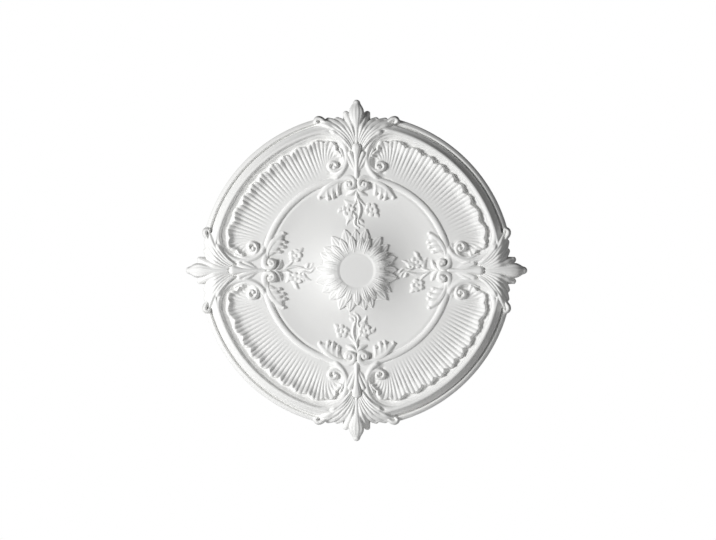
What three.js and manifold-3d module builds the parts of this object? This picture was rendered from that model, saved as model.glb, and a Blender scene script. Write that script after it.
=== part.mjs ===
// A moulded ceiling rose: a round dish of mouldings with four fluted shell panels, four acanthus
// palmettes on its axes, a flower spray inside each, and a sunflower boss round a lamp seat.
// Millimetres. The ornament is worked out lying on its flat back, with u to the right, v outwards
// along one axis and h off the back, and the finished casting is stood up, so that its face looks
// along -Y and its back lies in the plane of X and Z, where the ceiling meets it.
import * as THREE from 'three';
import { mergeVertices } from 'three/addons/utils/BufferGeometryUtils.js';
import Module from 'manifold-3d';

// Driving dimensions
const TIP_RADIUS = 475; // centre to the tip of a palmette
const RIM_RADIUS = 437; // outside of the round rim
const RIM_HEIGHT = 14; // rim's outer band off the ceiling
const RIM_GAP_HALF = 106; // the rim stops this far from each axis, under the palmette
const FRAME_GAP_HALF = 66; // and so does the frame's crest
const GROOVE_RADIUS = 421; // quirk between the rim band and the frame's cove
const FRAME_RADIUS = 400; // crest of the frame round the shell panels
const FRAME_HEIGHT = 34;
const FIELD_HEIGHT = 21; // sunk ground of the shell panels
const RING_RADIUS = 259; // middle of the bead round the dish
const RING_HALF_WIDTH = 8.5;
const RING_HEIGHT = 28;
const DISH_RADIUS = 190; // lowest line of the dish
const DISH_HEIGHT = 18;
const BOSS_RADIUS = 115; // tips of the sunflower's petals
const BOSS_HEIGHT = 26;
const CROWN_RADIUS = 57; // inner end of the petals
const CROWN_HEIGHT = 58;
const SEAT_RADIUS = 49.5; // flat seat of the lamp canopy
const SEAT_HEIGHT = 52;
const BACK_TRIM = 3; // palmettes run this far past the back before it is cut flat
const SECTORS = 4; // the ornament repeats on four axes
const TURN_STEPS = 36; // straight facets round the turned body

// Shell panels: a bent stadium between the ring and the frame
const PANEL_RADIUS = 330; // middle line of the panel
const PANEL_HALF_WIDTH = 71;
const PANEL_END = THREE.MathUtils.degToRad(17.1); // from an axis to the centre of the panel's round end
const FLUTES_PER_HALF = 13;
const FLUTE_STEP = THREE.MathUtils.degToRad(2.2);
const FLUTES_PER_SCALLOP = 3;
const SHELL_EDGE = 46; // shell edge from the panel's middle line
const SCALLOP_DEPTH = 5;
const END_FLARE = 6; // shell edge swinging wider round a panel's end, for each radian of turn

const OFF_WHITE = 0xf2f2f0;
const PI = Math.PI;
const wasm = await Module();
wasm.setup();
const { Manifold, Mesh } = wasm;

// A closed three.js geometry as a solid that can be joined and cut.
function solid(geometry) {
  const bare = geometry.clone();
  bare.deleteAttribute('normal');
  bare.deleteAttribute('uv');
  const merged = mergeVertices(bare, 1e-4);
  return new Manifold(new Mesh({
    numProp: 3,
    vertProperties: new Float32Array(merged.attributes.position.array),
    triVerts: new Uint32Array(merged.index.array),
  }));
}

// The same shape on the other side of the axis.
function mirrored(geometry) {
  const twin = geometry.clone().scale(-1, 1, 1);
  const index = twin.index.array;
  for (let i = 0; i < index.length; i += 3) [index[i], index[i + 1]] = [index[i + 1], index[i]];
  return twin;
}

// A shape and its reflection in the axis.
function pair(geometry) {
  return [geometry, mirrored(geometry)];
}

// A smooth plan curve through a few points.
function curve(...points) {
  return new THREE.SplineCurve(points.map(([u, v]) => new THREE.Vector2(u, v)));
}

// Even steps through a short list of values, so that a width or a height can follow a path.
function along(values, s) {
  const place = s * (values.length - 1);
  const first = Math.min(Math.floor(place), values.length - 2);
  return THREE.MathUtils.lerp(values[first], values[first + 1], place - first);
}

// A box whose top is a grid of columns and rows, each set in place by spot(column, s), with s from
// 0 to 1 along the column. The underside lies level at the height of foot.
function slab(columns, rows, foot, spot) {
  const box = new THREE.BoxGeometry(1, 1, 1, columns, rows, 1);
  const place = box.attributes.position;
  for (let i = 0; i < place.count; i++) {
    const column = Math.round((place.getX(i) + 0.5) * columns);
    const { u, v, h } = spot(column, place.getY(i) + 0.5);
    place.setXYZ(i, u, v, place.getZ(i) > 0 ? h : foot);
  }
  return box;
}

// A carved lobe, stem or bead along a plan curve, crowned across its width. width and crest are
// half width and top height along the path, and fall is how far the edges lie below the crest.
function lobe({ path, width, crest, fall = 5, foot = 6, steps = 2, across = 2 }) {
  return slab(across, steps, foot, (column, s) => {
    const side = (2 * column) / across - 1;
    const point = path.getPoint(s);
    const way = path.getTangent(s);
    const reach = side * along(width, s);
    const h = along(crest, s) - fall * side * side;
    return { u: point.x + way.y * reach, v: point.y - way.x * reach, h };
  });
}

// A leaf of fingers side by side, from left to right: a ridge down each finger and a hollow between
// two, which stops short of their tips. A finger is a root, a bend and a tip in plan, and the height
// of its tip; the leaf's own heights are those of all roots and bends.
function leaf({ fingers, rootHeight, bendHeight, fall = 4, edge = 6, foot = 8, notch = 0.9 }) {
  const rows = 2;
  const spines = fingers.map(([root, bend, tip, tipHeight]) => new THREE.QuadraticBezierCurve3(
    new THREE.Vector3(...root, rootHeight),
    new THREE.Vector3(...bend, bendHeight),
    new THREE.Vector3(...tip, tipHeight),
  ));
  const last = 2 * spines.length;
  return slab(last, rows, foot, (column, s) => {
    if (column % 2 === 1) {
      const { x: u, y: v, z: h } = spines[(column - 1) / 2].getPoint(s);
      return { u, v, h };
    }
    if (column > 0 && column < last) {
      const left = spines[column / 2 - 1].getPoint(s * notch);
      const { x: u, y: v, z: h } = left.lerp(spines[column / 2].getPoint(s * notch), 0.5);
      return { u, v, h: h - fall };
    }
    const outer = spines[column === 0 ? 0 : spines.length - 1];
    const reach = (column === 0 ? -edge : edge) * (0.5 + 0.5 * s);
    const { x: u, y: v, z: h } = outer.getPoint(s * 0.94);
    const way = outer.getTangent(s * 0.94).setZ(0).normalize();
    return { u: u + way.y * reach, v: v - way.x * reach, h: h - fall };
  });
}

// Fingers to the right of the axis, their reflections, and one on the axis between them.
function bothSides(half, middle) {
  const left = half.map(([root, bend, tip, high]) => [...[root, bend, tip].map(([u, v]) => [-u, v]), high]);
  return [...left.reverse(), middle, ...half];
}

// A round-topped knob, whose widest line lies just under the ground.
function knob(u, v, radius, height) {
  const girth = DISH_HEIGHT;
  const ball = new THREE.SphereGeometry(1, 8, 4).rotateX(PI / 2);
  return ball.scale(radius, radius, height - girth).translate(u, v, girth);
}

// A closed profile of radius and height turned about the axis.
function turned(profile, steps) {
  const points = profile.map(([r, h]) => new THREE.Vector2(r, h));
  return new THREE.LatheGeometry(points, steps).rotateX(PI / 2);
}

// The turned body: dish, ring, sunk field, frame and rim, with a flat back.
function body() {
  const shoulder = RING_HALF_WIDTH * 0.66;
  return turned([
    [0, -BACK_TRIM],
    [RIM_RADIUS, -BACK_TRIM],
    [RIM_RADIUS, RIM_HEIGHT - 7],
    [RIM_RADIUS - 4, RIM_HEIGHT - 1],
    [GROOVE_RADIUS + 3, RIM_HEIGHT - 0.5],
    [GROOVE_RADIUS, RIM_HEIGHT - 3],
    [FRAME_RADIUS + 9, RIM_HEIGHT + 7],
    [FRAME_RADIUS + 3, FRAME_HEIGHT - 1],
    [FRAME_RADIUS - 1, FRAME_HEIGHT],
    [FRAME_RADIUS - 9, FIELD_HEIGHT + 1],
    [RING_RADIUS + RING_HALF_WIDTH, FIELD_HEIGHT + 1],
    [RING_RADIUS + shoulder, RING_HEIGHT - 1.6],
    [RING_RADIUS, RING_HEIGHT],
    [RING_RADIUS - shoulder, RING_HEIGHT - 1.6],
    [RING_RADIUS - RING_HALF_WIDTH, FIELD_HEIGHT + 1],
    [DISH_RADIUS, DISH_HEIGHT],
    [BOSS_RADIUS + 32, DISH_HEIGHT + 3],
    [BOSS_RADIUS - 6, BOSS_HEIGHT],
    [0, BOSS_HEIGHT],
  ], TURN_STEPS);
}

// The boss: a turned cone with two rows of pointed petals, the upper ones between the lower ones,
// round the sunk seat. Every other corner is a lower petal's tip, and the rest are upper ones.
function sunflower() {
  const petals = 21;
  const lower = { tip: BOSS_RADIUS, notch: BOSS_RADIUS - 17 };
  const upper = { tip: BOSS_RADIUS - 22, notch: BOSS_RADIUS - 37 };
  const stepHeight = BOSS_HEIGHT + 15;
  const boss = turned([
    [0, BOSS_HEIGHT - 6],
    [lower.tip, BOSS_HEIGHT - 6],
    [lower.tip, BOSS_HEIGHT + 4],
    [upper.tip, stepHeight],
    [upper.tip, stepHeight + 6],
    [CROWN_RADIUS, CROWN_HEIGHT],
    [SEAT_RADIUS + 3, CROWN_HEIGHT - 2],
    [SEAT_RADIUS, SEAT_HEIGHT],
    [0, SEAT_HEIGHT],
  ], 2 * petals);
  const place = boss.attributes.position;
  for (let i = 0; i < place.count; i++) {
    const [u, v, h] = [place.getX(i), place.getY(i), place.getZ(i)];
    const radius = Math.hypot(u, v);
    if (radius < CROWN_RADIUS + 1) continue;
    const isLower = h < stepHeight - 1;
    const column = Math.round((Math.atan2(u, -v) / PI) * petals);
    const isTip = isLower === (column % 2 === 0);
    const row = isLower ? lower : upper;
    const pull = (isTip ? row.tip : row.notch) / radius;
    place.setXYZ(i, u * pull, v * pull, isTip || h < BOSS_HEIGHT ? h : h - 2);
  }
  return boss;
}

// Acanthus palmette over the frame and rim: a grooved finial, and a fan of fingers on each side.
function palmette() {
  const base = 322;
  const half = [
    [[1, base], [26, 430], [11, 469], 20],
    [[2, base], [16, 405], [32, 446], 20],
    [[3, base], [18, 402], [46, 432], 21],
    [[4, base], [20, 404], [68, 428], 21],
    [[5, base], [26, 398], [91, 424], 22],
    [[6, base], [32, 390], [111, 423], 23],
    [[7, base], [34, 376], [86, 399], 34],
  ];
  const finial = [[0, base], [0, 430], [0, TIP_RADIUS], 18];
  return leaf({
    fingers: bothSides(half, finial),
    rootHeight: 30,
    bendHeight: 50,
    foot: -BACK_TRIM,
  });
}

// Husk on the axis between ring and palmette, with a rounded head.
function husk() {
  const base = RING_RADIUS + 4;
  const half = [[[6, base], [9, 308], [21, 331], 37]];
  const rib = [[0, base], [0, 310], [0, 355], 42];
  return leaf({ fingers: bothSides(half, rib), rootHeight: 33, bendHeight: 38 });
}

// Centre of a panel's round end, beside the axis.
function panelEnd() {
  return new THREE.Vector2(PANEL_RADIUS * Math.sin(PANEL_END), PANEL_RADIUS * Math.cos(PANEL_END));
}

// The frame's crest turning in round the ends of the panels, down to the ring.
function frameEnds() {
  const end = panelEnd();
  const start = PI / 2 - PANEL_END;
  const sweep = 0.9 * PI;
  const points = [0, 0.2, 0.4, 0.6, 0.8, 1].map((s) => {
    const turn = start + s * sweep;
    return [end.x + PANEL_HALF_WIDTH * Math.cos(turn), end.y + PANEL_HALF_WIDTH * Math.sin(turn)];
  });
  return pair(lobe({
    path: curve(...points),
    width: [5, 8, 9, 8, 6],
    crest: [FRAME_HEIGHT, FRAME_HEIGHT + 1, FRAME_HEIGHT, FRAME_HEIGHT - 1, RING_HEIGHT],
    fall: 15,
    steps: 5,
  }));
}

// Where flute line k, counted from the panel's diagonal towards an axis, leaves the ring and meets
// the shell edge. Lines near the diagonal are radial, and the last few fan out round the end.
function fluteLine(k) {
  const even = 9;
  const room = 0.14;
  const past = Math.max(0, k - even) * FLUTE_STEP;
  const rootAngle = PI / 4 + Math.min(k, even) * FLUTE_STEP + room * (1 - Math.exp(-past / room));
  const root = new THREE.Vector2(Math.cos(rootAngle), Math.sin(rootAngle));

  const outside = PANEL_RADIUS + SHELL_EDGE;
  const reach = SHELL_EDGE + SCALLOP_DEPTH * (Math.abs(Math.sin((PI * k) / FLUTES_PER_SCALLOP)) - 0.6);
  const spread = Math.max(0, k - FLUTES_PER_HALF + 5);
  const length = outside * FLUTE_STEP * k + 3.4 * spread * spread;
  const straight = outside * (PI / 4 - PANEL_END);
  if (length <= straight) {
    const turn = PI / 4 + length / outside;
    const edge = new THREE.Vector2(Math.cos(turn), Math.sin(turn)).multiplyScalar(PANEL_RADIUS + reach);
    return { root, edge };
  }
  const round = (length - straight) / SHELL_EDGE;
  const turn = PI / 2 - PANEL_END + round;
  const way = new THREE.Vector2(Math.cos(turn), Math.sin(turn));
  return { root, edge: panelEnd().addScaledVector(way, reach + END_FLARE * round) };
}

// One shell: ridges and hollows side by side from the ring to a scalloped edge.
function shell() {
  const columns = 4 * FLUTES_PER_HALF;
  return slab(columns, 2, FIELD_HEIGHT - 8, (column, s) => {
    const k = column / 2 - FLUTES_PER_HALF;
    const { root, edge } = fluteLine(Math.abs(k));
    const climb = 9 * Math.max(0, Math.abs(k) - FLUTES_PER_HALF + 4);
    const from = root.clone().multiplyScalar(RING_RADIUS + 5 + climb);
    const bend = root.clone().multiplyScalar(RING_RADIUS + 65);
    const spot = new THREE.QuadraticBezierCurve(from, bend, edge).getPoint(s);
    const wave = column % 2 === 0 ? 1.6 : -1.6;
    const h = FIELD_HEIGHT + 2.5 + 6.5 * s * s + wave * s;
    return k > 0 ? { u: spot.y, v: spot.x, h } : { u: spot.x, v: spot.y, h };
  });
}

// Volute at each end of the shells: a bead winding into an eye.
function volutes() {
  const eye = new THREE.Vector2(57, 288);
  const points = [0, 1, 2, 3, 4, 5, 6, 7].map((i) => {
    const turn = (150 + 62 * i) * (PI / 180);
    const radius = 24 - 2.5 * i;
    return [eye.x + radius * Math.cos(turn), eye.y + radius * Math.sin(turn)];
  });
  const bead = { path: curve(...points), width: [5.5, 5.5, 4.5], crest: [30, 32, 35], fall: 14, steps: 6 };
  return pair(lobe(bead));
}

// The ring's ends rolled into knobs on each side of an axis, each with acanthus leaves.
function ringScrolls() {
  const scroll = {
    fingers: [
      [[38, 251], [80, 237], [100, 204], 25],
      [[32, 251], [62, 243], [79, 198], 24],
      [[28, 249], [48, 244], [62, 215], 25],
    ],
    rootHeight: 30,
    bendHeight: 30,
    edge: 5,
  };
  return [...pair(knob(17.5, 239.5, 12.5, 40)), ...pair(leaf(scroll))];
}

// A five-petalled flower with a button in the middle.
function flower(u, v, radius, height) {
  const petals = 5;
  const head = new THREE.CylinderGeometry(radius * 0.7, radius, 12, 2 * petals, 1).rotateX(PI / 2);
  const place = head.attributes.position;
  for (let i = 0; i < place.count; i++) {
    const angle = Math.atan2(place.getY(i), place.getX(i));
    const open = 0.82 + 0.18 * Math.cos(petals * angle);
    place.setXY(i, place.getX(i) * open, place.getY(i) * open);
  }
  return head.translate(u, v, height - 6);
}

// A hanging spray: a winding stem, two flowers, and leaves.
function spray() {
  const stem = {
    path: curve([0, 230], [3, 207], [11, 180], [8, 152], [1, 134], [8, 122]),
    width: [4, 3.2, 3.2, 2],
    crest: [29, 24, 25, 29],
    fall: 9,
    steps: 4,
  };
  const sprigs = [
    { path: curve([2, 202], [-16, 191], [-37, 196]), width: [3, 6, 1] },
    { path: curve([3, 193], [-8, 180], [-20, 170]), width: [3, 3, 3] },
    { path: curve([9, 198], [18, 185], [30, 175]), width: [3, 3, 3] },
    { path: curve([6, 157], [-16, 147], [-29, 130]), width: [3, 6, 1] },
  ];
  return [
    lobe(stem),
    ...sprigs.map((shape) => lobe({ ...shape, crest: [23, 24, 23], fall: 9 })),
    flower(-29, 165, 18.5, 25),
    flower(39, 171, 18.5, 25),
  ];
}

// The stretches of rim and of frame that each palmette takes the place of.
function palmetteGaps() {
  const depth = 80;
  const rim = new THREE.BoxGeometry(2 * RIM_GAP_HALF, depth, 200);
  const frame = new THREE.BoxGeometry(2 * FRAME_GAP_HALF, depth, 200);
  return [
    rim.translate(0, GROOVE_RADIUS - 2 + depth / 2, 0),
    frame.translate(0, FRAME_RADIUS - 15 + depth / 2, 0),
  ];
}

// What lies behind the flat back.
function ceiling() {
  const depth = 20;
  return new THREE.BoxGeometry(3 * TIP_RADIUS, 3 * TIP_RADIUS, depth).translate(0, 0, -depth / 2);
}

// A shape on each of the four axes.
function onEveryAxis(shape) {
  return Array.from({ length: SECTORS }, (_, i) => shape.clone().rotateZ((2 * PI * i) / SECTORS));
}

const sector = [
  palmette(),
  husk(),
  ...frameEnds(),
  shell(),
  ...volutes(),
  ...ringScrolls(),
  ...spray(),
];

let casting = solid(body());
for (const cut of palmetteGaps().flatMap(onEveryAxis)) casting = casting.subtract(solid(cut));
for (const shape of [sunflower(), ...sector.flatMap(onEveryAxis)]) casting = casting.add(solid(shape));
casting = casting.subtract(solid(ceiling()));

const surface = casting.getMesh();
const geometry = new THREE.BufferGeometry();
geometry.setAttribute('position', new THREE.BufferAttribute(surface.vertProperties, 3));
geometry.setIndex(new THREE.BufferAttribute(surface.triVerts, 1));
geometry.computeVertexNormals();

const primer = new THREE.MeshStandardMaterial({ color: OFF_WHITE, roughness: 0.75, metalness: 0 });
const rose = new THREE.Mesh(geometry, primer);
rose.name = 'ceiling_rose';
rose.rotation.x = PI / 2;

const part = new THREE.Group();
part.add(rose);
export default part;
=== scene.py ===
"""A white moulded ceiling rose: one casting with shells, acanthus, flower sprays and a sunflower."""

import math

import bpy
import numpy as np
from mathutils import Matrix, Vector
from mathutils.bvhtree import BVHTree


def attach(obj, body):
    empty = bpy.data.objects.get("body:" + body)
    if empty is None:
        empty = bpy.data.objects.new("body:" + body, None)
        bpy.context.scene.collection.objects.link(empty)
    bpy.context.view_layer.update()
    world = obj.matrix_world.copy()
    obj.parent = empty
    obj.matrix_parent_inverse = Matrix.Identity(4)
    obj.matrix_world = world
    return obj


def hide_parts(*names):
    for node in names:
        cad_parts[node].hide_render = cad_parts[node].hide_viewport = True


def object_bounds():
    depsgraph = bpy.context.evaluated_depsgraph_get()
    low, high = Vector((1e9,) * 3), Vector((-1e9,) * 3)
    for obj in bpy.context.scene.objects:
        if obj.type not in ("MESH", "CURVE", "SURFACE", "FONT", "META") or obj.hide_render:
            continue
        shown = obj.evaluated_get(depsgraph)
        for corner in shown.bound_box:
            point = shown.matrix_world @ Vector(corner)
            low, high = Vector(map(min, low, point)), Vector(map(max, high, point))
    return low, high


bl_info = {
    "name": "Moulded ceiling rose",
    "version": (1, 0, 0),
    "blender": (4, 5, 0),
    "location": "View3D > Sidebar > Ceiling rose",
    "description": "Builds a white moulded ceiling rose and the studio round it",
    "category": "Add Mesh",
}

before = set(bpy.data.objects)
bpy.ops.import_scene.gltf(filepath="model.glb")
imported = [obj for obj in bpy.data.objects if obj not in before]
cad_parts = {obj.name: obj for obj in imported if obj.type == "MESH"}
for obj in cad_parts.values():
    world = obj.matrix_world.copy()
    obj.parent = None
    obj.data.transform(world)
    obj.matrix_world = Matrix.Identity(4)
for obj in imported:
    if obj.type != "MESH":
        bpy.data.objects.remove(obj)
CAD_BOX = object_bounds()
CAD_REACH = CAD_BOX[1].x
CAD_DEPTH = -CAD_BOX[0].y

NODE = "ceiling_rose"
BODY = "root"

# The ornament is worked out in millimetres, lying on its back: u is to the right, v outwards along
# the upper axis, and h off the back. Every list of heights and half widths runs evenly along a path.
MM = 0.001
SECTOR = math.radians(45.0)  # half of the sector that one axis carries


def length(name, description, default):
    """A size in metres that a user may change."""
    return bpy.props.FloatProperty(
        name=name, description=description, default=default, min=0.0, unit="LENGTH", precision=4
    )


class RoseSizes(bpy.types.PropertyGroup):
    """Driving sizes of the casting."""

    tip_radius: length("Tip radius", "Centre to the tip of a palmette", CAD_REACH)
    rim_radius: length("Rim radius", "Outside of the round rim", 0.437)
    rim_height: length("Rim height", "Rim's outer bead off the back", 0.0135)
    groove_radius: length("Groove radius", "Quirk between the rim and the frame's cove", 0.4218)
    panel_radius: length("Panel radius", "Middle line of the shell panels", 0.330)
    panel_half_width: length("Panel half width", "Middle line to the frame's crest", 0.0705)
    frame_height: length("Frame height", "Crest of the frame round the panels", 0.0340)
    field_height: length("Field height", "Sunk ground of the panels", 0.0225)
    ring_half_width: length("Ring half width", "Half of the bead round the dish", 0.0080)
    ring_height: length("Ring height", "Top of the bead round the dish", 0.0278)
    dish_height: length("Dish height", "Lowest line of the dish", 0.018)
    boss_radius: length("Boss radius", "Tips of the sunflower's petals", 0.115)
    crown_height: length("Crown height", "Top of the sunflower", CAD_DEPTH - 0.001)
    seat_radius: length("Seat radius", "Flat seat of the lamp canopy", 0.0465)
    seat_height: length("Seat height", "Seat off the back", 0.052)
    panel_end: bpy.props.FloatProperty(
        name="Panel end",
        description="From an axis to the centre of a panel's round end",
        default=math.radians(17.1),
        subtype="ANGLE",
    )
    flutes: bpy.props.IntProperty(
        name="Flutes", description="Flutes in half a shell", default=20, min=8, max=40
    )
    flute_step: bpy.props.FloatProperty(
        name="Flute step",
        description="Angle between flutes in the middle of a shell",
        default=math.radians(2.0),
        subtype="ANGLE",
    )
    flute_depth: length("Flute depth", "Depth of the flutes near the shell's edge", 0.0046)
    petals: bpy.props.IntProperty(
        name="Petals", description="Petals in each row of the sunflower", default=21, min=6, max=60
    )


class RoseFinish(bpy.types.PropertyGroup):
    """White primer on the casting."""

    colour: bpy.props.FloatVectorProperty(
        name="Colour",
        description="Primer's colour",
        subtype="COLOR",
        size=3,
        min=0.0,
        max=1.0,
        default=(0.74, 0.74, 0.735),
    )
    roughness: bpy.props.FloatProperty(
        name="Roughness", description="Primer's roughness", subtype="FACTOR", min=0.0, max=1.0, default=0.62
    )
    grain: length("Grain", "Depth of the sprayed grain", 0.00012)


# Curves and heights


def bend(root, middle, tip, steps=24):
    """Points along a quadratic curve."""
    s = np.linspace(0.0, 1.0, steps)[:, None]
    root, middle, tip = (np.array(p, float) for p in (root, middle, tip))
    return (1 - s) ** 2 * root + 2 * s * (1 - s) * middle + s**2 * tip


def spline(*points, steps=10):
    """Points along a smooth curve through the given ones."""
    p = np.array(points, float)
    p = np.vstack([2 * p[0] - p[1], p, 2 * p[-1] - p[-2]])
    s = np.linspace(0.0, 1.0, steps, endpoint=False)[:, None]
    runs = []
    for a, b, c, d in zip(p[:-3], p[1:-2], p[2:-1], p[3:]):
        cubic = 2 * b + (c - a) * s + (2 * a - 5 * b + 4 * c - d) * s**2 + (3 * b - a - 3 * c + d) * s**3
        runs.append(0.5 * cubic)
    return np.vstack(runs + [p[-2:-1]])


def evenly(values, s):
    """Value at share s of a list that runs evenly from 0 to 1, on a smooth curve."""
    curve = spline(*enumerate(values), steps=8)
    return np.interp(s * (len(values) - 1), *curve.T)


def ramp(x, low, high):
    """Smooth step from 0 at low to 1 at high."""
    t = np.clip((x - low) / (high - low), 0.0, 1.0)
    return t * t * (3 - 2 * t)


def joined(a, b, fillet):
    """The higher of two heights, with a rounded inner corner between them."""
    near = np.clip(1 - np.abs(a - b) / fillet, 0.0, 1.0)
    return np.maximum(a, b) + 0.25 * fillet * near * near


class Relief:
    """Heights of the carved face on a grid of radius and angle."""

    def __init__(self, radii, angles, height):
        self.radius, self.angle = np.meshgrid(radii, angles, indexing="ij")
        self.u = self.radius * np.sin(self.angle)
        self.v = self.radius * np.cos(self.angle)
        self.h = height(self)

    def near(self, points, margin):
        """Grid points round a path."""
        low, high = points.min(0) - margin, points.max(0) + margin
        return (self.u > low[0]) & (self.u < high[0]) & (self.v > low[1]) & (self.v < high[1])

    def along(self, path, where):
        """Distance from a path, side of it, and share of its length, of the chosen grid points."""
        u, v = self.u[where], self.v[where]
        best = np.full(u.shape, 1e9)
        side, share = np.zeros(u.shape), np.zeros(u.shape)
        steps = np.hypot(*np.diff(path, axis=0).T)
        start, total = 0.0, steps.sum()
        for a, b, step in zip(path[:-1], path[1:], steps):
            way = (b - a) / step
            t = np.clip((u - a[0]) * way[0] + (v - a[1]) * way[1], 0.0, step)
            off_u, off_v = u - a[0] - t * way[0], v - a[1] - t * way[1]
            gap = np.hypot(off_u, off_v)
            closer = gap < best
            best[closer] = gap[closer]
            side[closer] = np.sign(off_u * way[1] - off_v * way[0])[closer]
            share[closer] = ((start + t) / total)[closer]
            start += step
        return best, side, share

    def lobe(
        self, path, width, crest, fall=4.0, flank=3.0, tilt=0.0, grooves=(), depth=0.9,
        fillet=0.8, ground=None, rounded=False,
    ):
        """A leaf finger, stem or bead along a path, crowned across, with rounded ends.

        fall is how far its edges lie below the crest, flank is how steeply its sides go down from
        there, tilt lifts its right edge, and grooves run along it at shares of its half width.
        """
        where = self.near(path, max(width) * 2 + 12)
        gap, side, s = self.along(path, where)
        half = evenly(width, s)
        across = np.minimum(gap / half, 1.0)
        if rounded:
            crown = fall * (1 - np.sqrt(np.maximum(0.0, 1 - across**2)))
        else:
            crown = fall * across**2
        top = evenly(crest, s) - crown - flank * np.maximum(gap - half, 0.0)
        top += tilt * side * across
        for place in grooves:
            top -= depth * np.exp(-(((gap - place * half) / (0.16 * half + 0.5)) ** 2))
        if ground is not None:
            top += ground[where]
        self.h[where] = joined(self.h[where], top, fillet)

    def knob(self, u, v, radius, top, fall, ground=None, fillet=0.8):
        """A round-topped knob."""
        gap = np.hypot(self.u - u, self.v - v)
        across = np.minimum(gap / radius, 1.0)
        dome = top - fall * (1 - np.sqrt(np.maximum(0.0, 1 - across**2))) - 4 * np.maximum(gap - radius, 0)
        if ground is not None:
            dome = dome + ground
        self.h = joined(self.h, dome, fillet)

    def cover(self, vertices, faces, foot, where, fillet):
        """Lays a sheet over the chosen grid points; its foot counts only where it stands out."""
        tree = BVHTree.FromPolygons([tuple(p) for p in vertices], faces)
        down = Vector((0.0, 0.0, -1.0))
        for i, j in np.argwhere(where):
            hit, _, face, _ = tree.ray_cast(Vector((self.u[i, j], self.v[i, j], 200.0)), down)
            if hit is not None:
                self.h[i, j] = joined(self.h[i, j], hit.z, fillet) if foot(face) else hit.z


# The casting, one ornament at a time, to the right of an axis


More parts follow.
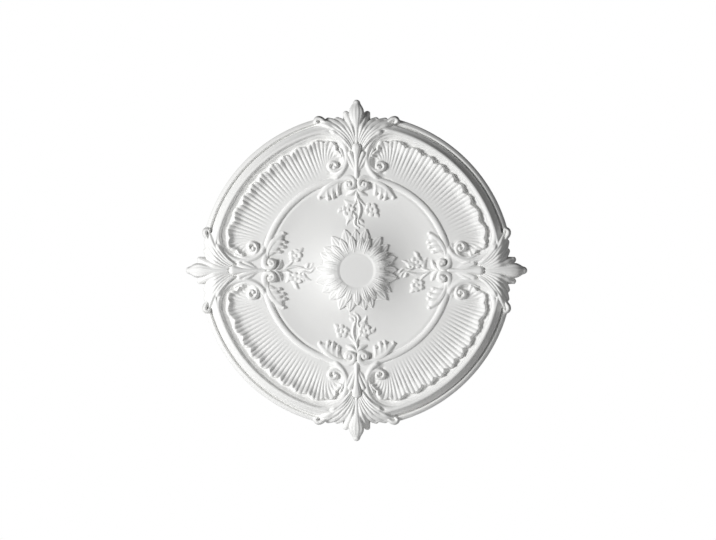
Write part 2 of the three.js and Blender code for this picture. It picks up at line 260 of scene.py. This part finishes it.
class Rose:
    """The casting's sizes in millimetres, and its ornaments."""

    def __init__(self, sizes):
        for name in RoseSizes.__annotations__:
            value = getattr(sizes, name)
            is_length = name not in {"panel_end", "flutes", "flute_step", "petals"}
            setattr(self, name, value / MM if is_length else value)
        self.frame_radius = self.panel_radius + self.panel_half_width
        self.ring_radius = self.panel_radius - self.panel_half_width - 0.8
        self.end_u = self.panel_radius * math.sin(self.panel_end)
        self.end_v = self.panel_radius * math.cos(self.panel_end)

    def turned(self, radius):
        """Height of the turned body at a radius: dish, field, frame, cove and rim."""
        field, crest, rim = self.field_height, self.frame_height, self.rim_height
        frame_radius, groove = self.frame_radius, self.groove_radius
        trough = 197.0  # lowest line of the dish
        dish = [(r, self.dish_height + 2.8 * (max(0.0, trough - r) / 47) ** 2.3
                 + 4.4 * (max(0.0, r - trough) / 49) ** 1.7) for r in range(96, 247, 3)]
        quirk = self.ring_radius - 12.0
        profile = [
            (0.0, self.dish_height),
            (90.0, self.dish_height + 9),
            *[(r, h - (1.6 if abs(r - quirk) < 1.6 else 0.0)) for r, h in dish],
            (self.ring_radius + 8, field - 1.8),
            (self.ring_radius + 10, field - 1.6),
            (self.ring_radius + 13, field - 0.6),
            (frame_radius - 34, field - 0.6),
            (frame_radius - 24, field - 3.4),
            (frame_radius - 20, field - 3.4),
            (frame_radius - 11.5, field + 3.4),
            (frame_radius - 10.5, field + 2.4),
            (frame_radius - 9, field + 3.0),
            (frame_radius - 4.5, crest - 0.8),
            (frame_radius - 1.5, crest),
            (frame_radius + 2, crest - 0.6),
            (frame_radius + 4.5, crest - 3.6),
            (frame_radius + 8, crest - 8.5),
            (frame_radius + 12, crest - 13),
            (groove - 6, crest - 15.6),
            (groove - 4.2, rim + 2.0),
            (groove - 2.8, rim - 7.5),
            (groove + 0.2, rim - 9.0),
            (groove + 1.8, rim - 1.6),
            (groove + 4, rim),
            (groove + 7, rim - 1.2),
            (groove + 10, rim - 3.4),
            (self.rim_radius - 1.4, rim - 6.8),
            (self.rim_radius - 0.5, rim - 9),
            (self.rim_radius, 0.0),
            (self.rim_radius + 6, -60.0),
        ]
        fine = np.arange(0.0, 520.0, 0.1)
        heights = np.interp(fine, *np.array(profile).T)
        kernel = np.exp(-0.5 * (np.arange(-30, 31) / 7.0) ** 2)
        soft = np.convolve(np.pad(heights, 30, mode="edge"), kernel / kernel.sum(), mode="valid")
        return np.interp(radius, fine, np.where(fine < self.rim_radius - 1, soft, heights))

    def ground(self, grid):
        """The turned body, with the frame turning in round the panels' ends beside the axis."""
        height = self.turned(grid.radius)
        off_end = np.hypot(np.abs(grid.u) - self.end_u, grid.v - self.end_v)
        beside = (np.abs(grid.angle) < self.panel_end) & (grid.radius > self.ring_radius - 6)
        half, field = self.panel_half_width, self.field_height
        places = [-34, -24, -20, -11.5, -10.5, -9, -4.5, 0, 2.5, 6, 9]
        levels = [-0.6, -3.4, -3.4, 3.4, 2.4, 3.0, 10.7, 11.5, 10.3, 6.0, 5.0]
        turned_in = np.interp(off_end - half, places, levels)
        down = (self.end_v - grid.v) / np.maximum(off_end, 1.0)
        turned_in = field + np.where(turned_in > 0, turned_in * ramp(0.97 - down, 0.0, 0.2), turned_in)
        inside = grid.radius < self.frame_radius - 4
        blend = ramp(self.panel_end - np.abs(grid.angle), 0.0, 0.045)
        blend = np.where(grid.radius < self.panel_radius, blend, 1.0)
        height = np.where(beside & inside, height + blend * (turned_in - height), height)
        gap_half = 112.0  # the rim stops under a palmette
        gap = (np.abs(grid.u) < gap_half) & (grid.v > self.groove_radius + 1)
        return np.where(gap, -30.0, height)

    def scallop(self, k):
        """The edge's wave at flute line k: -1 in the notches between scallops, 1 on their tips."""
        notches = [-1.5, 1.5, 4.5, 7.5, 11.5, 15.5, 18.5, 21.5]
        share = np.interp(abs(k), notches, range(len(notches))) % 1.0
        return 2 * math.sin(math.pi * share) ** 1.2 - 1

    def flute_line(self, k):
        """Root, edge and outward way of flute line k, counted from the diagonal."""
        even = 11.0
        start = self.ring_radius + 6
        angle = math.pi / 4 - min(k, even) * self.flute_step
        root = start * np.array([math.sin(angle), math.cos(angle)])
        if k > even:
            climb = spline(root, (95, 257), (88.5, 271), (84, 284), (78, 295), (70, 301), (61, 303))
            share = (k - even) / (self.flutes - even)
            root = np.array([evenly(climb[:, 0], share), evenly(climb[:, 1], share)])

        edge = 42.0
        reach = edge + 4.4 * self.scallop(k) + 0.6 * abs(math.cos(math.pi * k))
        outside = self.panel_radius + edge
        run = outside * self.flute_step * k
        straight = outside * (math.pi / 4 - self.panel_end)
        if run <= straight:
            angle = math.pi / 4 - run / outside
            way = np.array([math.sin(angle), math.cos(angle)])
            return root, way * (self.panel_radius + reach), way
        turn = (run - straight) / edge
        angle = self.panel_end - turn
        way = np.array([math.sin(angle), math.cos(angle)])
        middle = np.array([self.end_u, self.end_v])
        return root, middle + way * (reach + 5.0 * turn), way

    def shell(self, relief):
        """A fluted shell from the ring to a scalloped, upturned edge."""
        per_flute, rows = 10, 44
        lines = np.arange(-2 * per_flute, self.flutes * per_flute + 1) / per_flute
        shares = np.linspace(0.0, 1.0, rows)
        lift_places = [0, 0.4, 0.6, 0.74, 0.82, 0.89, 0.94, 0.975, 1]
        lift = np.interp(shares, lift_places, [0, 0, 0.2, 1.2, 3.6, 8.0, 11.4, 13.2, 12.8])
        deep = self.flute_depth * ramp(shares, 0.04, 0.75)
        points = []
        for k in lines:
            root, edge, way = self.flute_line(abs(k))
            if k < 0:
                root, edge, way = root[::-1], edge[::-1], way[::-1]
            outward = 0.5 * np.linalg.norm(edge - root) / np.linalg.norm(root)
            column = bend(root, root * (1 + outward), edge, rows)
            rib = abs(math.cos(math.pi * k)) ** 0.7
            dip = 0.7 * (1 - self.scallop(k)) * shares**4
            heights = self.field_height - 0.6 + lift - dip - deep * (1 - rib)
            foot = [[*(edge + way * 3.0), self.field_height - 5]]
            points.append(np.vstack([np.column_stack([column, heights]), foot]))
        high = rows + 1
        vertices = np.vstack(points)
        faces = [
            (c * high + r, c * high + r + 1, (c + 1) * high + r + 1, (c + 1) * high + r)
            for c in range(len(lines) - 1)
            for r in range(high - 1)
        ]
        where = (relief.radius > self.ring_radius) & (relief.radius < self.frame_radius - 6)
        relief.cover(vertices, faces, lambda face: face % rows == rows - 1, where, 0.6)

    def volute(self, relief):
        """The shell's end winding into an eye."""
        path = spline(
            (46, 338), (38, 320), (34.5, 304), (39, 289.5), (50, 280), (63, 277.5),
            (74, 283), (76.5, 292.5), (69, 299.5), (59, 297.5), (55.5, 290), (60, 285.5),
        )
        width = [3.0, 4.6, 5.0, 4.8, 4.2, 3.4]
        crest = [31, 32, 32, 32.5, 33.5, 35]
        relief.lobe(path, width, crest, fall=7, rounded=True, flank=4)
        relief.knob(62.0, 287.5, 4.6, 35.5, 5.0)

    def ring(self, relief):
        """The bead round the dish, rolled up into a knob beside the axis."""
        radius, half = self.ring_radius, self.ring_half_width
        arc = np.linspace(math.radians(50), math.asin(34.0 / radius), 40)
        round_part = radius * np.column_stack([np.sin(arc), np.cos(arc)])
        curl = spline(
            (30, 257.2), (19, 257.5), (10, 253), (6.5, 244), (8.5, 234.5),
            (17.5, 229.5), (26.5, 233.5), (27.5, 242), (20, 244),
        )
        path = np.vstack([round_part, curl])
        width = [half] * 14 + [half * 0.95, half * 0.85, half * 0.72, half * 0.62, half * 0.55, half * 0.5]
        crest = [self.ring_height] * 13 + [29, 31.5, 34.5, 37, 38, 38, 38]
        relief.lobe(path, width, crest, fall=5.6, rounded=True, flank=6, fillet=0.4)
        relief.knob(18.5, 238.5, 5.5, 39.5, 6.0)

    def palmette(self, relief):
        """Acanthus over the frame and rim: fingers fanning out beside a grooved finial."""
        fingers = [
            ((17, 338), (36, 372), (77, 391), 8.0, 42.0),
            ((16, 344), (38, 388), (99, 409), 8.5, 34.0),
            ((13, 349), (35, 398), (104, 417), 7.5, 26.0),
            ((10, 353), (29, 402), (79, 418), 9.0, 25.0),
            ((7, 357), (21, 404), (54, 420), 8.5, 25.5),
            ((4, 360), (13, 402), (30, 436), 9.5, 27.0),
        ]
        for root, middle, tip, half, tip_height in fingers:
            relief.lobe(
                bend(root, middle, tip),
                [half * 0.3, half * 0.42, half * 0.6, half * 0.8, half, half, half * 0.9],
                [37, 40, 42, 41.5, 0.5 * (41 + tip_height), tip_height, tip_height - 12],
                fall=8.5, flank=8, tilt=-0.8, grooves=(0.42,), depth=0.9, fillet=0.5,
            )
        relief.lobe(
            spline((90, 416), (101, 422), (110, 422), (114, 415), (109, 411)),
            [3, 4.5, 5, 4.2, 3],
            [26, 27, 26, 26, 25],
            fall=5, flank=6, rounded=True,
        )
        finial = np.array([(0.0, v) for v in np.linspace(352, self.tip_radius - 9, 30)])
        relief.lobe(
            finial,
            [2.5, 4, 6.5, 9.5, 13, 17.5, 17, 9.0],
            [39, 41, 42, 42, 41, 38.5, 33, 22],
            fall=6.5, flank=10, grooves=(0.0, 0.55), depth=2.2, fillet=0.5,
        )

    def husk(self, relief):
        """The bud on the axis between ring and palmette."""
        lobes = [
            (bend((4, 276), (15, 292), (24.5, 312)), [2.5, 4.5, 5], [30, 33.5, 35.5]),
            (bend((3, 278), (8, 304), (18.5, 326)), [2.5, 5, 5.5], [33, 36.5, 39]),
            (spline((0, 258), (0, 300), (0, 342)), [6.0, 4.2, 6, 11], [33, 37, 40, 43.5]),
        ]
        for path, width, crest in lobes:
            relief.lobe(path, width, crest, fall=4.5, flank=5, grooves=(0.0,), depth=0.9, fillet=0.5)

    def scroll_leaf(self, relief):
        """Acanthus curling from under the ring, and the small leaf below its knob."""
        relief.lobe(
            spline((34, 250), (56, 246), (78, 234), (94, 217), (103, 205)),
            [2.5, 5, 6, 5.5, 4.2],
            [27, 30, 31, 30, 27.5],
            fall=3.2, flank=3.5, tilt=0.9, grooves=(0.0,), depth=1.1, fillet=0.5,
        )
        relief.lobe(
            spline((40, 247), (60, 233), (80, 219), (99, 207)),
            [3, 10, 12, 10, 4],
            [25, 28, 28.5, 28, 26],
            fall=2.5, flank=3,
        )
        for root, middle, tip, half in (
            ((50, 247), (58, 232), (52, 216), 4.2),
            ((64, 242), (73, 222), (66, 206), 4.8),
            ((80, 232), (86, 215), (79.5, 202), 4.6),
        ):
            relief.lobe(
                bend(root, middle, tip), [half * 0.5, half, half, half * 0.8], [27, 29.5, 29.5, 27.5],
                fall=3.2, flank=3.5, tilt=0.9, grooves=(0.0,), depth=0.7, fillet=0.5,
            )
        for u, v in ((103, 203), (79, 200.5), (65.5, 204), (52, 214)):
            relief.knob(u, v, 4.2, 28.5, 4.5)
        relief.lobe(bend((2, 226), (10, 214), (28, 210)), [2.5, 4.4, 1.5], [29, 28, 24], fall=2.5)

    def flower(self, relief, ground, u, v, radius, turn):
        """A five-petalled flower with cupped petals and a button."""
        where = np.hypot(relief.u - u, relief.v - v) < radius * 1.6
        gap = np.hypot(relief.u - u, relief.v - v)[where]
        angle = np.arctan2(relief.v - v, relief.u - u)[where] - turn
        lobe = np.abs(np.cos(2.5 * angle))
        reach = radius * (0.66 + 0.34 * lobe**0.55)
        across = gap / reach
        petal = 3.6 + 3.2 * ramp(across, 0.15, 0.8) - 3.0 * (1 - lobe**0.5) * ramp(across, 0.1, 0.5)
        petal -= 3.5 * np.maximum(gap - reach * 0.92, 0) + 0.7 * np.cos(15 * angle) ** 2 * across
        button = 7.6 - 0.14 * gap**2
        relief.h[where] = joined(relief.h[where], ground[where] + joined(petal, button, 0.4), 0.4)

    def spray(self, relief):
        """A hanging stem with two open flowers, leaves and tendrils."""
        ground = self.turned(relief.radius)
        stem = spline(
            (0, 232), (-0.5, 212), (3, 198), (7.5, 186), (10, 174),
            (9.5, 162), (6.5, 150), (4, 140), (6, 129), (19, 122),
        )
        width = [3.2, 2.6, 2.6, 2.4, 2.0, 1.6]
        relief.lobe(stem, width, [7.5, 6.5, 6.2, 6, 5, 3.5], fall=2.5, flank=2.8, ground=ground)
        twigs = [
            spline((1, 203), (-4, 188), (-14, 174)),
            spline((2, 203), (10, 194), (19, 184), (27, 178)),
            spline((-8, 158), (-3, 149), (-6, 134), (-3, 126), (6, 119)),
        ]
        for path in twigs:
            relief.lobe(path, [2.2, 2.2, 2.0, 1.6], [6.5, 6, 5.2, 4], fall=2, flank=2.8, ground=ground)
        leaves = [
            (spline((-4, 190), (-18, 187), (-34, 195)), 4.6),
            (spline((-36, 170), (-45, 168), (-52, 161)), 4.0),
            (spline((49, 164), (54, 158), (62, 150)), 4.6),
            (spline((-12, 156), (-20, 150), (-30, 146)), 4.0),
            (spline((-2, 150), (-20, 143), (-28, 128)), 3.4),
            (spline((5, 140), (12, 138), (20, 132)), 3.4),
        ]
        for path, half in leaves:
            relief.lobe(
                path, [1.6, half, half * 0.9, 1.0], [5.0, 6.0, 5.4, 3.6],
                fall=1.8, flank=2.6, grooves=(0.0,), depth=1.0, ground=ground,
            )
        self.flower(relief, ground, -23, 168, 18.0, 0.3)
        self.flower(relief, ground, 41, 170, 18.5, 1.0)

    def sector_heights(self):
        """Radii, angles and heights of the sector round one axis."""
        runs = [
            (100, 246, 2.0), (246, 272, 1.0), (272, 345, 1.8), (345, 416, 1.05),
            (416, self.rim_radius - 1.5, 0.8), (self.rim_radius - 1.2, self.rim_radius, 0.4),
            (self.rim_radius + 1.0, self.tip_radius + 6, 1.3),
        ]
        radii = np.concatenate([np.arange(low, high, step) for low, high, step in runs])
        right = np.linspace(0.0, SECTOR, 193)
        half = Relief(radii, right, self.ground)
        for carve in (self.shell, self.volute, self.scroll_leaf, self.ring, self.husk, self.palmette):
            carve(half)
        angles = np.concatenate([-right[:0:-1], right])
        whole = Relief(radii, angles, lambda grid: np.hstack([half.h[:, :0:-1], half.h]))
        self.spray(whole)
        return radii, angles, soften(whole.h)


def soften(heights):
    """Rounds the finest edges, as paint and moulding do; the rim and the seat keep theirs."""
    soft = heights.copy()
    soft[2:-1] = 0.25 * heights[1:-2] + 0.5 * heights[2:-1] + 0.25 * heights[3:]
    soft[:, 1:-1] = 0.25 * soft[:, :-2] + 0.5 * soft[:, 1:-1] + 0.25 * soft[:, 2:]
    return np.where(heights > 10.0, soft, heights)


def stood_up(u, v, h):
    """Face coordinates in millimetres as places in the row frame: the face looks along -Y."""
    return np.column_stack([np.ravel(u), -np.ravel(h), np.ravel(v)]) * MM


def sector_mesh(rose):
    """One sector of the casting, closed under the sunflower and by its share of the flat back."""
    radii, angles, heights = rose.sector_heights()
    rows, columns = heights.shape

    # Each column stops where its height falls to the back, and what lies beyond is drawn in to there.
    inside = heights > 0.0
    last = rows - 1 - np.argmax(inside[::-1], axis=0)
    column = np.arange(columns)
    high, low = heights[last, column], heights[np.minimum(last + 1, rows - 1), column]
    step = radii[np.minimum(last + 1, rows - 1)] - radii[last]
    edge = radii[last] + step * high / np.maximum(high - low, 1e-6)
    beyond = np.arange(rows)[:, None] > last[None, :]
    radius = np.where(beyond, edge[None, :], radii[:, None])
    height = np.where(beyond, 0.0, np.maximum(heights, 0.0))

    u, v = radius * np.sin(angles), radius * np.cos(angles)
    points = stood_up(u, v, height)
    middle = stood_up([0.0, 0.0], [0.0, 0.0], [rose.dish_height, 0.0])
    front, back = len(points), len(points) + 1

    index = np.arange(rows * columns).reshape(rows, columns)
    used = ~(beyond[:-1, :-1] & beyond[:-1, 1:])
    around = [index[:-1, :-1], index[:-1, 1:], index[1:, 1:], index[1:, :-1]]
    quads = np.stack(around, axis=-1)[used].tolist()
    rim, inner = index[-1].tolist(), index[0].tolist()
    fans = [(front, b, a) for a, b in zip(inner, inner[1:])] + [(back, a, b) for a, b in zip(rim, rim[1:])]
    cuts = [(back, front, *index[:, 0].tolist()), (front, back, *index[::-1, -1].tolist())]
    mesh = bpy.data.meshes.new("sector")
    mesh.from_pydata(np.vstack([points, middle]).tolist(), [], quads + fans + cuts)
    smooth_across(mesh, points, quads, index[:, [0, -1]], angles[[0, -1]])
    return mesh


def smooth_across(mesh, points, quads, borders, angles):
    """Gives the relief smooth normals that meet the next sector's without a seam."""
    corners = points[np.array(quads)]
    face = np.cross(corners[:, 2] - corners[:, 0], corners[:, 3] - corners[:, 1])
    normal = np.zeros_like(points)
    for corner in range(4):
        np.add.at(normal, np.array(quads)[:, corner], face)
    for column, angle in zip(borders.T, angles):
        along = np.array([math.cos(angle), 0.0, -math.sin(angle)])
        normal[column] -= np.outer(normal[column] @ along, along)
    normal /= np.maximum(np.linalg.norm(normal, axis=1, keepdims=True), 1e-12)
    loops = [tuple(n) for n in normal[np.array(quads).ravel()]]
    for flat in list(mesh.polygons)[len(quads):]:
        loops += [tuple(flat.normal)] * flat.loop_total
    mesh.normals_split_custom_set(loops)


def sunflower_mesh(rose):
    """The sunflower round the seat: two rows of ribbed petals, no two quite alike."""
    rng = np.random.default_rng(11)
    per_petal = 30
    columns = rose.petals * per_petal
    angle = np.arange(columns) * 2 * math.pi / columns
    radii = np.concatenate([[20.0, 44.0], np.arange(rose.seat_radius - 0.4, rose.boss_radius + 6, 1.15)])
    crown, seat = rose.crown_height, rose.seat_height
    wall = [(0, seat), (rose.seat_radius, seat), (rose.seat_radius + 7.5, crown - 2.5), (64, crown - 2)]
    slope = [(76, crown - 7), (90, crown - 18), (104, crown - 31), (rose.boss_radius + 8, 16.0)]
    base = np.interp(radii, *np.array(wall + slope).T)
    height = np.repeat(base[:, None], columns, axis=1)
    radius = np.repeat(radii[:, None], columns, axis=1)

    # Each row: where its petals start and end, and their half widths and drops below the crown.
    outer_widths, outer_drops = [9, 10.4, 12, 13.6, 14.4, 9.6, 1.0], [3, 3, 7, 12, 17, 21, 24]
    inner_widths, inner_drops = [6, 7.4, 8.8, 9.6, 9.2, 6.2, 1.0], [3, 1.2, 0.5, 1.4, 4.4, 9.5, 15]
    outer = (57.0, rose.boss_radius, outer_widths, outer_drops)
    inner = (50.0, rose.boss_radius - 19, inner_widths, inner_drops)
    for row, (start, tip, half, drop) in enumerate((outer, inner)):
        for petal in range(rose.petals):
            turn = (petal + 0.5 * row + rng.uniform(-0.16, 0.16)) * 2 * math.pi / rose.petals
            reach = tip * rng.uniform(0.965, 1.03)
            lean, lift = rng.uniform(-0.09, 0.09), rng.uniform(-0.6, 0.6)
            share = (radius - start) / (reach - start)
            off = (angle[None, :] - turn + math.pi) % (2 * math.pi) - math.pi
            place = off * radius - lean * (radius - start)
            width = evenly(half, np.clip(share, 0, 1))
            across = np.minimum(np.abs(place) / width, 1.0)
            ribs = 1 - np.abs(np.cos(1.5 * math.pi * across))
            top = crown - evenly(drop, np.clip(share, 0, 1)) + lift - 2.2 * across**2
            top -= 1.5 * ribs * np.sin(math.pi * np.clip(0.1 + 0.85 * share, 0, 1)) ** 0.5
            top -= 5.0 * np.maximum(np.abs(place) - width, 0) + 6.0 * np.maximum(radius - reach, 0)
            near = (np.abs(off) < 0.5) & (radius > start)
            height[near] = joined(height[near], top[near], 0.5)
    height = np.minimum(height, crown)

    u, v = radius * np.sin(angle), radius * np.cos(angle)
    points = np.vstack([stood_up(u, v, height), stood_up([0.0], [0.0], [seat])])
    rows = len(radii)
    index = np.arange(rows * columns).reshape(rows, columns)
    after = np.roll(index, -1, axis=1)
    quads = np.stack([index[:-1], after[:-1], after[1:], index[1:]], axis=-1).reshape(-1, 4)
    faces = quads.tolist() + [(rows * columns, b, a) for a, b in zip(index[0].tolist(), after[0].tolist())]
    mesh = bpy.data.meshes.new("sunflower")
    mesh.from_pydata(points.tolist(), [], faces)
    return mesh


# Geometry Nodes


def sector_tree():
    """A node tree that turns a sector to its place round the rose's axis."""
    tree = bpy.data.node_groups.new("Sector round the axis", "GeometryNodeTree")
    sockets = tree.interface
    sockets.new_socket("Geometry", in_out="INPUT", socket_type="NodeSocketGeometry")
    sockets.new_socket("Sectors", in_out="INPUT", socket_type="NodeSocketInt").default_value = 4
    sockets.new_socket("Place", in_out="INPUT", socket_type="NodeSocketInt").default_value = 0
    sockets.new_socket("Finish", in_out="INPUT", socket_type="NodeSocketMaterial")
    sockets.new_socket("Geometry", in_out="OUTPUT", socket_type="NodeSocketGeometry")

    nodes, link = tree.nodes, tree.links.new
    given = nodes.new("NodeGroupInput").outputs
    share = nodes.new("ShaderNodeMath")
    share.operation = "DIVIDE"
    link(given["Place"], share.inputs[0])
    link(given["Sectors"], share.inputs[1])
    angle = nodes.new("ShaderNodeMath")
    angle.operation = "MULTIPLY"
    link(share.outputs[0], angle.inputs[0])
    angle.inputs[1].default_value = 2 * math.pi
    spin = nodes.new("ShaderNodeCombineXYZ")
    link(angle.outputs[0], spin.inputs["Y"])
    copies = nodes.new("GeometryNodeInstanceOnPoints")
    link(nodes.new("GeometryNodePoints").outputs[0], copies.inputs["Points"])
    link(given["Geometry"], copies.inputs["Instance"])
    link(spin.outputs[0], copies.inputs["Rotation"])
    real = nodes.new("GeometryNodeRealizeInstances")
    link(copies.outputs[0], real.inputs[0])
    finish = nodes.new("GeometryNodeSetMaterial")
    link(real.outputs[0], finish.inputs["Geometry"])
    link(given["Finish"], finish.inputs["Material"])
    link(finish.outputs[0], nodes.new("NodeGroupOutput").inputs[0])
    return tree


def evaluated(mesh, tree, **inputs):
    """A plain mesh of what a node tree makes of mesh."""
    source = bpy.data.objects.new("pattern", mesh)
    bpy.context.collection.objects.link(source)
    modifier = source.modifiers.new(tree.name, "NODES")
    modifier.node_group = tree
    for item in tree.interface.items_tree:
        if item.in_out == "INPUT" and item.name in inputs:
            modifier[item.identifier] = inputs[item.name]
    seen = source.evaluated_get(bpy.context.evaluated_depsgraph_get())
    plain = bpy.data.meshes.new_from_object(seen)
    bpy.data.objects.remove(source)
    return plain


# Finish


def primed_white(finish):
    """Matt white primer: faint clouding, and a fine sprayed grain."""
    material = bpy.data.materials.new("primed_white")
    material.use_nodes = True
    nodes, links = material.node_tree.nodes, material.node_tree.links
    shader = nodes["Principled BSDF"]
    shader.inputs["Roughness"].default_value = finish.roughness
    shader.inputs["Specular IOR Level"].default_value = 0.35

    place = nodes.new("ShaderNodeTexCoord")
    cloud = nodes.new("ShaderNodeTexNoise")
    cloud.inputs["Scale"].default_value = 9.0
    cloud.inputs["Detail"].default_value = 4.0
    tone = nodes.new("ShaderNodeMix")
    tone.data_type = "RGBA"
    colour = Vector(finish.colour)
    tone.inputs["A"].default_value = (*(colour * 0.975), 1.0)
    tone.inputs["B"].default_value = (*(colour * 1.02), 1.0)
    grain = nodes.new("ShaderNodeTexNoise")
    grain.inputs["Scale"].default_value = 700.0
    grain.inputs["Detail"].default_value = 2.0
    bump = nodes.new("ShaderNodeBump")
    bump.inputs["Strength"].default_value = 0.25
    bump.inputs["Distance"].default_value = finish.grain

    links.new(place.outputs["Object"], cloud.inputs["Vector"])
    links.new(cloud.outputs["Fac"], tone.inputs["Factor"])
    links.new(tone.outputs["Result"], shader.inputs["Base Color"])
    links.new(place.outputs["Object"], grain.inputs["Vector"])
    links.new(grain.outputs["Fac"], bump.inputs["Height"])
    links.new(bump.outputs["Normal"], shader.inputs["Normal"])
    return material


def finished(context, name, mesh):
    """A finished piece on the casting's body."""
    piece = bpy.data.objects.new(name, mesh)
    context.collection.objects.link(piece)
    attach(piece, BODY)
    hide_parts(NODE)
    return piece


def white(context):
    """The primer, made once."""
    return bpy.data.materials.get("primed_white") or primed_white(context.scene.rose_finish)


class ROSE_OT_casting(bpy.types.Operator):
    """Make the turned body with its shells, acanthus and sprays"""

    bl_idname = "rose.casting"
    bl_label = "Casting"

    def execute(self, context):
        sector, tree = sector_mesh(Rose(context.scene.rose_sizes)), sector_tree()
        for place, name in enumerate(("upper", "left", "lower", "right")):
            mesh = evaluated(sector, tree, Sectors=4, Place=-place, Finish=white(context))
            finished(context, f"{name}_quarter", mesh)
        bpy.data.meshes.remove(sector)
        return {"FINISHED"}


class ROSE_OT_sunflower(bpy.types.Operator):
    """Make the sunflower and the seat in its middle"""

    bl_idname = "rose.sunflower"
    bl_label = "Sunflower"

    def execute(self, context):
        mesh = sunflower_mesh(Rose(context.scene.rose_sizes))
        mesh.materials.append(white(context))
        for face in mesh.polygons:
            face.use_smooth = abs(face.normal.y) < 0.9998
        finished(context, "sunflower", mesh)
        return {"FINISHED"}


class ROSE_OT_studio(bpy.types.Operator):
    """Set the floor, the soft lights, the white surroundings and the camera"""

    bl_idname = "rose.studio"
    bl_label = "Studio"

    def execute(self, context):
        scene = context.scene
        scene.view_settings.view_transform = "Standard"
        self.floor(context)
        self.surroundings(scene)
        for name, place, size, power in (
            ("key", (-5.4, -4.4, 0.35), 1.6, 468.0),
            ("fill", (5.4, -4.4, 0.2), 2.2, 56.0),
            ("back", (0.6, 6.0, 0.3), 2.2, 190.0),
        ):
            self.light(context, name, Vector(place), size, power)
        self.camera(context)
        return {"FINISHED"}

    def floor(self, context):
        """A plain pale floor below the view."""
        half, level = 2.2, -1.6
        mesh = bpy.data.meshes.new("floor")
        corners = [(-half, -half, level), (half, -half, level), (half, half, level), (-half, half, level)]
        mesh.from_pydata(corners, [], [(0, 1, 2, 3)])
        material = bpy.data.materials.new("pale_floor")
        material.use_nodes = True
        shader = material.node_tree.nodes["Principled BSDF"]
        shader.inputs["Base Color"].default_value = (0.85, 0.85, 0.85, 1.0)
        shader.inputs["Emission Color"].default_value = (1.0, 1.0, 1.0, 1.0)
        shader.inputs["Emission Strength"].default_value = 0.1
        shader.inputs["Roughness"].default_value = 0.8
        mesh.materials.append(material)
        floor = bpy.data.objects.new("floor", mesh)
        context.collection.objects.link(floor)

    def surroundings(self, scene):
        """White to the camera, and dim to the casting."""
        world = bpy.data.worlds.new("white")
        world.use_nodes = True
        nodes, links = world.node_tree.nodes, world.node_tree.links
        nodes.clear()
        dim, white = nodes.new("ShaderNodeBackground"), nodes.new("ShaderNodeBackground")
        dim.inputs["Strength"].default_value = 0.02
        dim.inputs["Color"].default_value = (1.0, 1.0, 1.0, 1.0)
        white.inputs["Color"].default_value = (1.0, 1.0, 1.0, 1.0)
        seen = nodes.new("ShaderNodeLightPath")
        pick = nodes.new("ShaderNodeMixShader")
        out = nodes.new("ShaderNodeOutputWorld")
        links.new(seen.outputs["Is Camera Ray"], pick.inputs["Fac"])
        links.new(dim.outputs[0], pick.inputs[1])
        links.new(white.outputs[0], pick.inputs[2])
        links.new(pick.outputs[0], out.inputs["Surface"])
        scene.world = world

    def light(self, context, name, place, size, power):
        """A square soft light that looks at the rose."""
        lamp = bpy.data.lights.new(name, "AREA")
        lamp.size, lamp.energy = size, power
        light = bpy.data.objects.new(name, lamp)
        light.location = place
        light.rotation_euler = (-place).to_track_quat("-Z", "Y").to_euler()
        light.visible_camera = False
        context.collection.objects.link(light)

    def camera(self, context):
        """A long lens, square on to the face."""
        image_width, image_height = 716, 540
        reach_pixels, middle = 170.5, (356.6, 270.4)  # centre to a palmette's tip, and the centre
        distance, tip_depth = 8.0, 0.018
        pixel = CAD_REACH / reach_pixels
        lens = bpy.data.cameras.new("camera")
        lens.sensor_width = 36.0
        lens.lens = lens.sensor_width * (distance - tip_depth) / (image_width * pixel)
        lens.clip_end = 50.0
        camera = bpy.data.objects.new("camera", lens)
        right, up = image_width / 2 - middle[0], middle[1] - image_height / 2
        camera.location = (right * pixel, -distance, up * pixel)
        camera.rotation_euler = (math.pi / 2, 0.0, 0.0)
        context.collection.objects.link(camera)
        context.scene.camera = camera


class ROSE_PT_sidebar(bpy.types.Panel):
    """Sizes, finish and steps of the ceiling rose"""

    bl_idname = "ROSE_PT_sidebar"
    bl_label = "Ceiling rose"
    bl_space_type = "VIEW_3D"
    bl_region_type = "UI"
    bl_category = "Ceiling rose"

    def draw(self, context):
        for group in (context.scene.rose_sizes, context.scene.rose_finish):
            box = self.layout.box()
            for name in type(group).__annotations__:
                box.prop(group, name)
        for operator in OPERATORS:
            self.layout.operator(operator.bl_idname)


OPERATORS = (ROSE_OT_casting, ROSE_OT_sunflower, ROSE_OT_studio)
CLASSES = (RoseSizes, RoseFinish, *OPERATORS, ROSE_PT_sidebar)


def register():
    for item in CLASSES:
        bpy.utils.register_class(item)
    bpy.types.Scene.rose_sizes = bpy.props.PointerProperty(type=RoseSizes)
    bpy.types.Scene.rose_finish = bpy.props.PointerProperty(type=RoseFinish)


def unregister():
    del bpy.types.Scene.rose_finish
    del bpy.types.Scene.rose_sizes
    for item in reversed(CLASSES):
        bpy.utils.unregister_class(item)


def main():
    register()
    bpy.ops.rose.casting()
    bpy.ops.rose.sunflower()
    bpy.ops.rose.studio()


if __name__ == "__main__":
    main()
